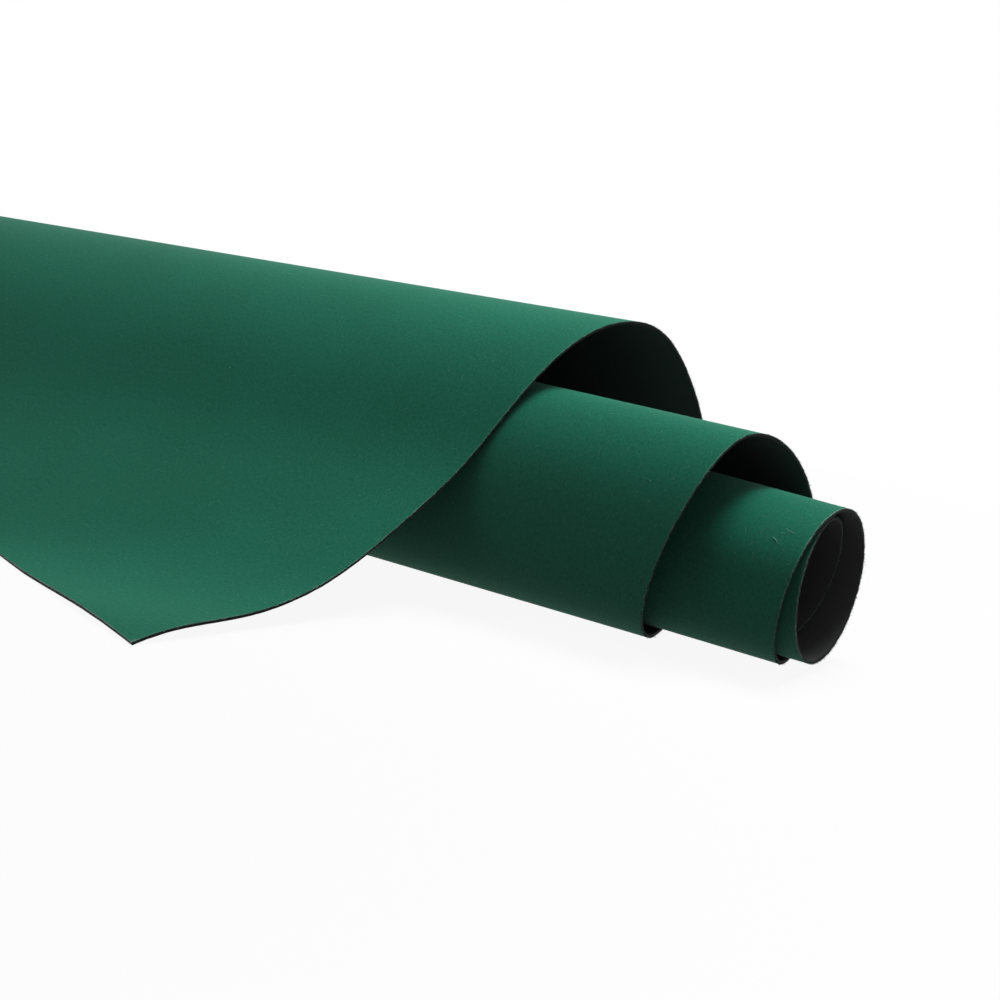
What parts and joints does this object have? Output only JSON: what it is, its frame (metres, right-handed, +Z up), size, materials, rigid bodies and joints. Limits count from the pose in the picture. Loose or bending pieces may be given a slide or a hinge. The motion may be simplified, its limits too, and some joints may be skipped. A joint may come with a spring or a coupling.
{
  "type": "roll-out poker table top",
  "caption": "Playing mat of green cloth on black rubber, stored as a loose roll pushed out at one end, with its loose end lying in front; laid flat, it covers a table for card games.",
  "frame": {"origin": "middle of the bounding box in X and Y, on the floor plane the roll rests on", "axes": "+X along the roll towards the end its inner turns are pushed out of, +Y away from the loose end, +Z up"},
  "size_m": [1.137, 0.429, 0.2419],
  "materials": {
    "cloth": "matte",
    "rubber": "matte"
  },
  "bodies": {
    "root": {"cloth_face": "cloth", "rubber_backing": "rubber"}
  },
  "joints": []
}
